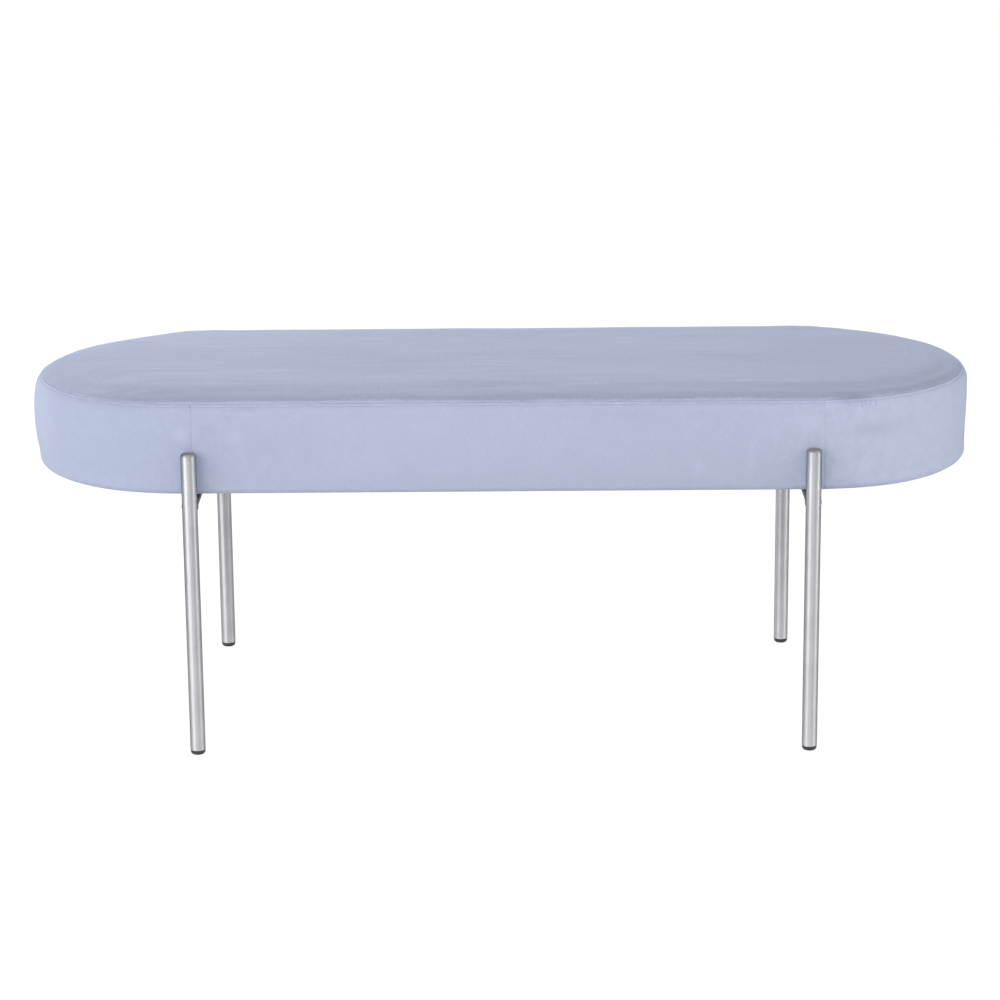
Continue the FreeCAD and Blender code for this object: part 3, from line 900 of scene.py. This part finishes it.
STITCH_LENGTH = 3.4 * MM
STITCH_PITCH = 4.4 * MM
STITCH_ARCH = 0.42 * MM
STITCH_SUNK = 0.45  # share of the arch that is below the velvet
THREAD = 0.32 * MM


def make_stitches(material):
    """One small loop of thread for each stitch, sunk at both ends."""
    count = round(LAP / STITCH_PITCH)
    rings, sides = 7, 6
    points, faces = [], []
    turn = full_turn(sides)
    rise = np.sin(np.linspace(0, math.pi, rings))
    half = STITCH_LENGTH / 2
    runs = np.array([STITCH_LINE])
    normal = section_at(runs)[1]
    for k in range(count):
        distances = (k + 0.5) * LAP / count + np.linspace(-half, half, rings)
        centre = lifted(distances, runs, swell_at(distances, runs) + relief(distances, runs))[:, 0]
        facing = outline(distances)[1] * normal[0, 0]
        facing[:, 2] = normal[0, 1]
        centre = centre + facing * ((rise - STITCH_SUNK)[:, None] * STITCH_ARCH)
        along = np.gradient(centre, axis=0)
        along /= np.linalg.norm(along, axis=1, keepdims=True)
        side = np.cross(along, facing)
        ring = np.cos(turn)[None, :, None] * facing[:, None] + np.sin(turn)[None, :, None] * side[:, None]
        grid = centre[:, None] + (THREAD * (0.55 + 0.45 * rise))[:, None, None] * ring
        add_grid(points, faces, grid, False, True)
    finish_piece(tidy_mesh(mesh_object("topstitching", points, faces, material)), "velvet")


# Foam and wadding

WADDING_GAP = 0.4 * MM
FILLING_STEP = 8 * MM
FOAM_EDGE_GAP = 1.5 * MM
FOAM_ROUND = 16 * MM


def make_filling(wadding_material, foam_material):
    distances = even_stations(FILLING_STEP)
    core_edge = BOARD_REACH - FOAM_EDGE_GAP
    turn = np.linspace(math.pi / 2, 0, 10)
    corner_n = core_edge - FOAM_ROUND + FOAM_ROUND * np.cos(turn)
    corner = np.stack([corner_n, FOAM_TOP - FOAM_ROUND + FOAM_ROUND * np.sin(turn)], -1)
    n = np.linspace(0, core_edge - FOAM_ROUND, 14)[:-1]
    crown = np.stack([n, np.full_like(n, FOAM_TOP)], -1)
    foam_bottom = BOARD_TOP + 0.1 * MM
    side = np.array([[core_edge, FOAM_TOP - 40 * MM], [core_edge, foam_bottom], [0, foam_bottom]])
    section = np.concatenate([crown, corner, side])
    foam = swept("foam_core", laid_round(distances, section[:, 0], section[:, 1]), foam_material)
    finish_piece(foam, "foam", "foam_block")
    rim_runs = np.linspace(-36 * MM, FOOT_RUN + 6 * MM, 50)
    runs = np.concatenate([np.linspace(TOP_START, -40 * MM, 12), rim_runs])
    outer = lifted(distances, runs, swell_at(distances, runs) - VELVET - WADDING_GAP)
    outer[:, 0, 2] = outer[:, 0, 2].mean()
    shell = np.concatenate([crown, corner])
    shell[:, 1] += WADDING_GAP
    shell[len(crown):, 0] += WADDING_GAP
    edge = BOARD_REACH + WADDING_GAP
    down = np.array([[edge, FOAM_TOP - 30 * MM], [edge, BOARD_BOTTOM + 8 * MM]])
    section = np.concatenate([shell, down])
    inner = laid_round(distances, section[:, 0], section[:, 1])
    wadding = swept("wadding_wrap", there_and_back(outer, inner), wadding_material)
    finish_piece(wadding, "wadding", "wadding")


# Legs, feet and crossbars

def turned(name, section, centres, material, segments):
    """Bodies turned round upright axes from one outline, a closed loop of (radius, height)."""
    points, faces = [], []
    angle = full_turn(segments)
    section = np.array(section)
    for x, y in centres:
        grid = np.zeros((segments, len(section), 3))
        grid[..., 0] = x + np.cos(angle)[:, None] * section[None, :, 0]
        grid[..., 1] = y + np.sin(angle)[:, None] * section[None, :, 0]
        grid[..., 2] = section[None, :, 1]
        add_grid(points, faces, grid, True, section[0, 0] > 0)
    return tidy_mesh(mesh_object(name, points, faces, material), METAL_MERGE, METAL_SHARP)


def rounded(corners, steps):
    """A section's corners (radius, height, rounding) as points."""
    points = []
    for i, (r, z, size) in enumerate(corners):
        here = np.array([r, z])
        if size <= 0:
            points.append(here)
            continue
        before = np.array(corners[i - 1][:2]) - here
        after = np.array(corners[(i + 1) % len(corners)][:2]) - here
        start = here + before / np.linalg.norm(before) * size
        end = here + after / np.linalg.norm(after) * size
        for t in np.linspace(0, 1, steps):
            points.append((1 - t) ** 2 * start + 2 * t * (1 - t) * here + t**2 * end)
    return points


TUBE_WALL = 1.5 * MM
TUBE_BORE = LEG_RADIUS - TUBE_WALL
CAP_CHAMFER = 1.6 * MM
PLUG = TUBE_BORE - 0.25 * MM
TUBE_SECTION = [
    (LEG_RADIUS, TUBE_FOOT, 0.8 * MM),
    (LEG_RADIUS, TUBE_TOP, 0.15 * MM),
    (TUBE_BORE, TUBE_TOP, 0),
    (TUBE_BORE, TUBE_FOOT, 0.3 * MM),
]
CAP_SECTION = [
    (0, CAP_TOP, 0),
    (LEG_RADIUS - CAP_CHAMFER, CAP_TOP, 0.7 * MM),
    (LEG_RADIUS, CAP_TOP - CAP_CHAMFER, 0.7 * MM),
    (LEG_RADIUS, TUBE_TOP, 0),
    (0, TUBE_TOP, 0),
]
FOOT_SECTION = [
    (0, 0, 0),
    (LEG_RADIUS - 0.4 * MM, 0, 4.2 * MM),
    (LEG_RADIUS - 0.15 * MM, TUBE_FOOT, 0.4 * MM),
    (PLUG, TUBE_FOOT, 0),
    (PLUG, PLUG_TOP - 1 * MM, 0),
    (PLUG - 1 * MM, PLUG_TOP, 0),
    (0, PLUG_TOP, 0),
]


def make_legs(steel_material, cap_material, foot_material):
    for name, place in LEG_PLACES.items():
        leg = turned("tube_" + name, rounded(TUBE_SECTION, 4), [place], steel_material, 96)
        finish_piece(leg, "steel", "leg_" + name)
    places = LEG_PLACES.values()
    caps = turned("tube_end_caps", rounded(CAP_SECTION, 5), places, cap_material, 96)
    finish_piece(caps, "steel", "leg_caps")
    feet = turned("glide_feet", rounded(FOOT_SECTION, 8), places, foot_material, 64)
    finish_piece(feet, "foot_plastic", "feet")


def make_crossbars(material):
    """Tubes from leg to leg, each end cut to the round of its leg."""
    around, along = 72, 12
    angle = full_turn(around)
    share = np.linspace(-1, 1, along)
    for side_name, side in (("left", -1), ("right", 1)):
        shells = []
        for radius in (BAR_RADIUS, BAR_RADIUS - TUBE_WALL):
            x = radius * np.cos(angle)
            reach = LEG_Y - np.sqrt((LEG_RADIUS + 0.02 * MM) ** 2 - x**2)
            grid = np.zeros((around, along, 3))
            grid[..., 0] = side * LEG_X + x[:, None]
            grid[..., 1] = reach[:, None] * share[None, :]
            grid[..., 2] = BAR_Z + (radius * np.sin(angle))[:, None]
            shells.append(grid)
        bar = swept("bar_" + side_name, there_and_back(*shells), material, True, METAL_MERGE, METAL_SHARP)
        finish_piece(bar, "steel", "crossbar_" + side_name)


# Weld beads

WELD = 1.5 * MM
WELD_RIPPLE = 1.9 * MM
WELD_SIDES = 10
WELD_SHARP = math.radians(60)


def bead(centres, out, across, loop, points, faces):
    """Adds one rippled bead along a line of centres; out and across span its round section."""
    turn = full_turn(WELD_SIDES)
    run = np.concatenate([[0], np.cumsum(np.linalg.norm(np.diff(centres, axis=0), axis=1))])
    size = WELD * (1 + 0.09 * np.sin(2 * math.pi * run / WELD_RIPPLE))
    if not loop:
        size *= np.sqrt(np.clip(np.minimum(run, run[-1] - run) / (2 * WELD) + 0.08, 0, 1))
    ring = np.cos(turn)[None, :, None] * out[:, None] + np.sin(turn)[None, :, None] * across
    grid = centres[:, None] + size[:, None, None] * ring
    add_grid(points, faces, grid, loop, True)


def make_welds(material):
    """Beads where the crossbars meet the legs, and along the plates."""
    points, faces = [], []
    ripples = round(2 * math.pi * BAR_RADIUS / WELD_RIPPLE)
    angle = full_turn(8 * ripples)
    out = np.stack([np.cos(angle), np.zeros_like(angle), np.sin(angle)], -1)
    reach = LEG_Y - np.sqrt(LEG_RADIUS**2 - (BAR_RADIUS * np.cos(angle)) ** 2)
    for x, y in LEG_PLACES.values():
        centres = np.array([x, 0, BAR_Z]) + BAR_RADIUS * out
        centres[:, 1] = math.copysign(1.0, y) * (reach - 0.3 * MM)
        bead(centres, out, np.array([0.0, 1.0, 0.0]), True, points, faces)
    for name in LEG_PLACES:
        low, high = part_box("mounting_plate_" + name)
        for side in (-1, 1):
            y = np.linspace(low.y + 2 * MM, high.y - 2 * MM, 90)
            centres = np.zeros((len(y), 3))
            centres[:, 0] = math.copysign(LEG_X, low.x) + side * 4 * MM
            centres[:, 1] = y
            centres[:, 2] = PLATE_BOTTOM - 0.8 * MM
            out = np.broadcast_to([float(side), 0.0, 0.0], centres.shape)
            bead(centres, out, np.array([0.0, 0.0, 1.0]), False, points, faces)
    welds = mesh_object("weld_beads", points, faces, material)
    finish_piece(tidy_mesh(welds, METAL_MERGE, WELD_SHARP), "steel")


# Dust cover

DUST_COVER = 0.6 * MM
DUST_REACH = HALF_WIDTH - 25 * MM
STAPLE_WIRE = 0.6 * MM
DUST_LOW = SEAT_BASE - STAPLE_WIRE
PLATE_MIDDLE = END_CENTRE - 26 * MM


def make_dust_cover(material):
    """Spun cloth stapled round its edge, a little slack between the plates."""
    n = np.concatenate([
        np.linspace(0, HEM_INNER - 5 * MM, 30),
        np.linspace(HEM_INNER - 4 * MM, HEM_INNER + 1 * MM, 5),
        np.linspace(HEM_INNER + 2 * MM, DUST_REACH, 6),
    ])
    over_hem = np.clip((n - HEM_INNER + 4 * MM) / (4 * MM), 0, 1)
    grid = laid_round(even_stations(6 * MM), n, BOARD_BOTTOM + (DUST_LOW - BOARD_BOTTOM) * over_hem)
    chance = np.random.default_rng(3)
    x, y = grid[..., 0], grid[..., 1]
    wrinkle = np.zeros_like(x)
    for _ in range(14):
        angle = chance.uniform(-0.5, 0.5) + math.pi / 2 * (chance.random() < 0.25)
        length = chance.uniform(0.05, 0.16)
        phase = chance.uniform(0, 2 * math.pi)
        across = x * math.sin(angle) + y * math.cos(angle)
        wrinkle += np.sin(2 * math.pi * across / length + phase)
    clear = np.clip((np.abs(np.abs(x) - PLATE_MIDDLE) - 45 * MM) / (60 * MM), 0, 1)
    edge = np.clip((HEM_INNER - 5 * MM - n[None, :]) / (40 * MM), 0, 1)
    grid[..., 2] -= (1.2 * MM + 5 * MM * np.abs(wrinkle / 14)) * np.sqrt(clear) * edge
    under = grid.copy()
    under[..., 2] -= DUST_COVER
    piece = swept("dust_cloth", there_and_back(grid, under), material)
    finish_piece(piece, "dust_cloth", "dust_cover")


# Staples

STAPLE_WIDTH = 10 * MM
STAPLE_DEPTH = 1.2 * MM
STAPLE_LEG = 8 * MM
STAPLE_SHARP = math.radians(30)


def make_staples(name, node_name, inset, surface, spacing, material):
    """Wire staples round the seat, a little uneven as by hand."""
    chance = np.random.default_rng(len(name))
    half, wire, tip = STAPLE_WIDTH / 2, STAPLE_WIRE, surface + STAPLE_LEG
    radius = HALF_WIDTH - inset
    count = round((4 * END_CENTRE + 2 * math.pi * radius) / spacing)
    loop = [(-half, tip), (-half, surface - wire), (half, surface - wire), (half, tip)]
    loop += [(half - wire, tip), (half - wire, surface), (wire - half, surface), (wire - half, tip)]
    points, faces = [], []
    for k in range(count):
        middle = (k + 0.5 + chance.uniform(-0.12, 0.12)) * LAP / count
        centre, outward = [rows[0] for rows in outline([middle])]
        tangent = np.array([-outward[1], outward[0], 0])
        turn = chance.normal(0, 0.05)
        along = tangent * math.cos(turn) + outward * math.sin(turn)
        across = outward * math.cos(turn) - tangent * math.sin(turn)
        place = centre + outward * (radius + chance.uniform(-0.6, 0.6) * MM)
        first = len(points)
        for side in (-1, 1):
            for u, z in loop:
                point = place + along * u + across * side * STAPLE_DEPTH / 2
                points.append((point[0], point[1], z))
        faces += sweep_faces(2, 8, False, True, first)
        for a, b, c, d in ((0, 1, 6, 7), (1, 2, 5, 6), (2, 3, 4, 5)):
            faces.append([first + i for i in (d, c, b, a)])
            faces.append([first + 8 + i for i in (a, b, c, d)])
    staples = mesh_object(name, points, faces, material)
    finish_piece(tidy_mesh(staples, METAL_MERGE, STAPLE_SHARP), "staple_steel", node_name)


# Surroundings

FLOOR_SIZE = 9.0
FLOOR_COLOUR = (0.86, 0.86, 0.87, 1)
FLOOR_WHITE_SHARE = 0.88
FLOOR_WHITE = 1.09
ROOM_LIGHT = 0.46
ROOM_AHEAD = 0.05
ROOM_ABOVE = 0.4
WHITE = (1, 1, 1, 1)
LIGHT_AIM = Vector((0, 0, 0.35))
SOFTBOXES = [
    # name, azimuth left of the camera's side in degrees, distance, height, width and height of the box, watts
    ("key_softbox", 48, 3.6, 1.3, (3.2, 2.4), 65),
    ("right_softbox", -72, 3.6, 1.3, (1.1, 2.4), 19),
    ("right_wide_softbox", -55, 3.8, 2.2, (3.0, 2.6), 20),
    ("front_high_softbox", 0, 4.4, 3.2, (2.8, 1.6), 46),
    ("back_softbox", 150, 3.2, 2.4, (2.4, 1.2), 50),
]


def make_floor():
    """A pale floor, white to the rays that show the background, which keeps the object's shadow."""
    work = bmesh.new()
    bmesh.ops.create_grid(work, x_segments=2, y_segments=2, size=FLOOR_SIZE)
    mesh = bpy.data.meshes.new("floor")
    work.to_mesh(mesh)
    work.free()
    floor = link("floor", mesh)
    look = new_look("floor_paint")
    look.tree.nodes.remove(look.tree.nodes["Principled BSDF"])
    diffuse = look.node("BsdfDiffuse", {"Color": FLOOR_COLOUR})[0]
    glow = look.node("Emission", {"Color": WHITE, "Strength": FLOOR_WHITE})[0]
    path = look.node("LightPath", {})
    seen = look.math("MAXIMUM", path["Is Camera Ray"], path["Is Glossy Ray"])
    seen = look.math("MAXIMUM", seen, path["Is Transmission Ray"])
    mixed = look.node("MixShader", {0: look.times(seen, FLOOR_WHITE_SHARE), 1: diffuse, 2: glow})[0]
    look.put(look.tree.nodes["Material Output"].inputs["Surface"], mixed)
    mesh.materials.append(look.owner)


def make_world():
    """A white backdrop behind the object, and a dim room round it that only glossy things show."""
    world = bpy.data.worlds.new("studio")
    bpy.context.scene.world = world
    look = Look(world)
    path = look.node("LightPath", {})
    glossy = look.math("MAXIMUM", path["Is Glossy Ray"], path["Is Transmission Ray"])
    direction = look.axes(look.node("TexCoord", {})["Generated"])
    backdrop = look.spread(direction[1], 0.88, 0.96)
    ahead = look.spread(look.times(direction[1], -1.0), 0.1, 0.6, 0.0, ROOM_AHEAD)
    above = look.spread(direction[2], 0.5, 0.9, 0.0, ROOM_ABOVE)
    room = look.math("ADD", ahead, above)
    shown = look.times(glossy, look.math("MAXIMUM", room, backdrop))
    seen = look.math("MAXIMUM", shown, path["Is Camera Ray"])
    lit = look.math("MAXIMUM", glossy, path["Is Camera Ray"])
    fill = look.times(look.math("SUBTRACT", 1.0, lit), ROOM_LIGHT)
    back = look.tree.nodes["Background"].inputs
    look.put(back["Color"], WHITE)
    look.put(back["Strength"], look.math("ADD", seen, fill))


def make_lights():
    for name, azimuth, distance, height, size, watts in SOFTBOXES:
        turn = math.radians(azimuth)
        place = Vector((-distance * math.sin(turn), -distance * math.cos(turn), height))
        data = bpy.data.lights.new(name, "AREA")
        data.shape = "RECTANGLE"
        data.size, data.size_y = size
        data.energy = watts
        item = link(name, data)
        item.location = place
        item.rotation_euler = (LIGHT_AIM - place).to_track_quat("-Z", "Y").to_euler()


# The velvet's colours and marks

def nap_of(red, green, blue):
    return [colour(red + lift, green + lift, blue + lift) for lift in NAP_LIFTS]


def on_seat(x, y, drop_mm):
    """A place on the seat, by how far it is below the seat's highest point."""
    return x, y, SEAT_TOP - drop_mm * MM


BAND_NAP = nap_of(176, 184, 207)
# The top's velvet is darker than the band's: partly its nap, partly painted shade for how the light falls on
# the top and its rim.
TOP_NAP_AND_SHADE = nap_of(162, 170, 192)
TOP_MARKS = [
    # scale of the noise, low, high, strength
    ((3.2, 9, 9), 0.45, 0.7, -0.35),
    ((6, 60, 60), 0.5, 0.72, -0.55),
    ((8, 85, 85), 0.52, 0.74, 0.7),
    ((420, 110, 110), 0.5, 0.7, 0.3),
    ((300, 80, 80), 0.5, 0.7, -0.3),
]
BAND_MARKS = [
    ((5, 5, 7), 0.45, 0.7, -0.15),
    ((45, 45, 60), 0.45, 0.7, -0.1),
    ((110, 110, 20), 0.58, 0.75, 0.1),
    ((300, 300, 300), 0.5, 0.72, 0.3),
    ((380, 380, 380), 0.5, 0.72, -0.2),
]
CRUSHED = ((0.434, -0.205, 14), (0.042, 0.08, 0.012), -1.2)
TOP_PATCHES = [
    # x, y and millimetres below the seat's highest point, radii, strength
    # The first two are painted light at the back left and painted shade at the right; the third is painted
    # shade on the rim's front left.
    ((-0.38, 0.12, 0), (0.34, 0.15, 0.2), 0.6),
    ((0.48, -0.04, 0), (0.36, 0.30, 0.2), -0.45),
    ((-0.43, -0.18, 2), (0.12, 0.06, 0.04), -0.35),
    CRUSHED,
]
BAND_PATCHES = [
    CRUSHED,
    # The next four are painted light and shade across the band: darker at the front left and the left end,
    # lighter at the right end and the far left edge.
    ((-0.30, -0.215, 60), (0.20, 0.05, 0.09), -0.25),
    ((0.56, -0.16, 60), (0.34, 0.40, 0.35), 1.0),
    ((-0.47, -0.17, 65), (0.26, 0.35, 0.35), -0.4),
    ((-0.60, -0.08, 60), (0.08, 0.16, 0.16), 0.6),
    ((-0.395, -0.215, 49), (0.020, 0.03, 0.022), 0.4),
    ((-0.361, -0.215, 45), (0.020, 0.03, 0.014), -0.3),
    ((-0.328, -0.215, 52), (0.024, 0.03, 0.018), 0.3),
    ((-0.313, -0.215, 19), (0.036, 0.03, 0.006), -0.4),
    ((0.464, -0.20, 52), (0.080, 0.08, 0.020), -0.3),
    ((0.458, -0.20, 34), (0.080, 0.08, 0.018), 0.3),
    ((0.491, -0.19, 80), (0.075, 0.08, 0.022), 0.25),
    ((0.384, -0.215, 39), (0.036, 0.03, 0.028), 0.4),
    ((0.243, -0.215, 95), (0.014, 0.03, 0.022), 0.35),
    ((0.309, -0.215, 85), (0.010, 0.03, 0.035), 0.3),
]
FINE_STROKES = (70, 900, 900)
LONG_ARCS = (22, 260, 260)
RIM_STROKES = [
    ((0.475, -0.19, 10), (0.05, 0.04, 0.016), FINE_STROKES, 0.9),
    ((-0.43, -0.20, 12), (0.04, 0.03, 0.009), FINE_STROKES, 0.5),
    ((0.50, 0.0, 0), (0.14, 0.24, 0.1), LONG_ARCS, 0.3),
]
# Painted yellowish glints on the front legs' fronts, just below their caps: middle, size, strength.
GLINT_Z = CAP_TOP - 4.9 * MM
PAINTED_GLINTS = [
    ((-LEG_X - 5.9 * MM, -LEG_Y - 7.4 * MM, GLINT_Z), (1.5 * MM, 3 * MM, 1.5 * MM), 0.8),
    ((-LEG_X + 2.4 * MM, -LEG_Y - 9.2 * MM, GLINT_Z), (2.4 * MM, 3 * MM, 1.5 * MM), 0.9),
    ((LEG_X + 3.0 * MM, -LEG_Y - 9.0 * MM, GLINT_Z), (2.4 * MM, 3 * MM, 1.8 * MM), 0.9),
]

# The scene

bpy.context.scene.view_settings.view_transform = "Standard"
make_camera()
make_floor()
make_world()
make_lights()

# The top gets painted shade on its rim and a painted highlight along the fold at the seam.
TOP_VELVET = velvet(
    "velvet_top", TOP_NAP_AND_SHADE, 0.55, TOP_MARKS, TOP_PATCHES, RIM_STROKES, painted_rim_shade=-0.3, painted_fold_light=BAND_NAP[0]
)
BAND_VELVET = velvet("velvet_band", BAND_NAP, 0.3, BAND_MARKS, BAND_PATCHES, RIM_STROKES[:2], 0.3)
THREAD_LOOK = fibres("thread", (160, 168, 194), (136, 143, 170), 2500, 0.2)
STEEL_UPRIGHT = steel("steel_brushed_upright", (222, 223, 226), "Z", 0.48, PAINTED_GLINTS, 0.08)
# Darker than the legs' steel: painted shade for the crossbars lying under the seat.
STEEL_CROSSWISE_SHADED = steel("steel_brushed_crosswise_painted_shade", (106, 106, 109), "Y", 0.5)
STEEL_CAP = steel("steel_cap", (205, 201, 200), "Z", 0.5, edge=0.4)
STEEL_FLAT = steel("steel_flat", (140, 140, 143), None, 0.38)
WELD_LOOK = steel("weld", (118, 114, 112), None, 0.42)
ZINC = steel("zinc_plated", (188, 192, 198), None, 0.3)
STAPLE_LOOK = steel("staple_wire", (176, 176, 180), None, 0.35)
FOOT_LOOK = plastic("foot_plastic", (50, 49, 56), (72, 71, 78))
PLY_LOOK = plywood("plywood")
FOAM_LOOK = fibres("foam", (232, 224, 190), (198, 186, 146), 700, 0.6)
WADDING_LOOK = fibres("wadding", (244, 244, 242), (214, 214, 212), 380, 0.8)
DUST_LOOK = fibres("dust_cloth", (38, 38, 42), (24, 24, 27), 1200, 0.2)

top_panel = make_top_panel(TOP_VELVET)
make_stitches(THREAD_LOOK)
for panel in range(4):
    make_band_panel(panel, BAND_VELVET)
make_filling(WADDING_LOOK, FOAM_LOOK)
make_legs(STEEL_UPRIGHT, STEEL_CAP, FOOT_LOOK)
make_crossbars(STEEL_CROSSWISE_SHADED)
make_welds(WELD_LOOK)
make_dust_cover(DUST_LOOK)
make_staples("hem_staple_row", "hem_staples", 34 * MM, SEAT_BASE, 32 * MM, STAPLE_LOOK)
DUST_UNDER = DUST_LOW - DUST_COVER
make_staples("dust_cover_staple_row", "dust_cover_staples", 29 * MM, DUST_UNDER, 42 * MM, STAPLE_LOOK)

NODE_LOOKS = {"seat_board": PLY_LOOK, "plate_bolts": ZINC, "tee_nuts": ZINC}
NODE_LOOKS.update({"mounting_plate_" + name: STEEL_FLAT for name in LEG_PLACES})
for name, look in NODE_LOOKS.items():
    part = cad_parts[name]
    part.data.materials.clear()
    part.data.materials.append(look)
    if look != PLY_LOOK:
        edges = part.modifiers.new("soft_edges", "BEVEL")
        edges.width = 0.3 * MM
        edges.segments = 2
        edges.limit_method = "ANGLE"
        edges.angle_limit = math.radians(40)
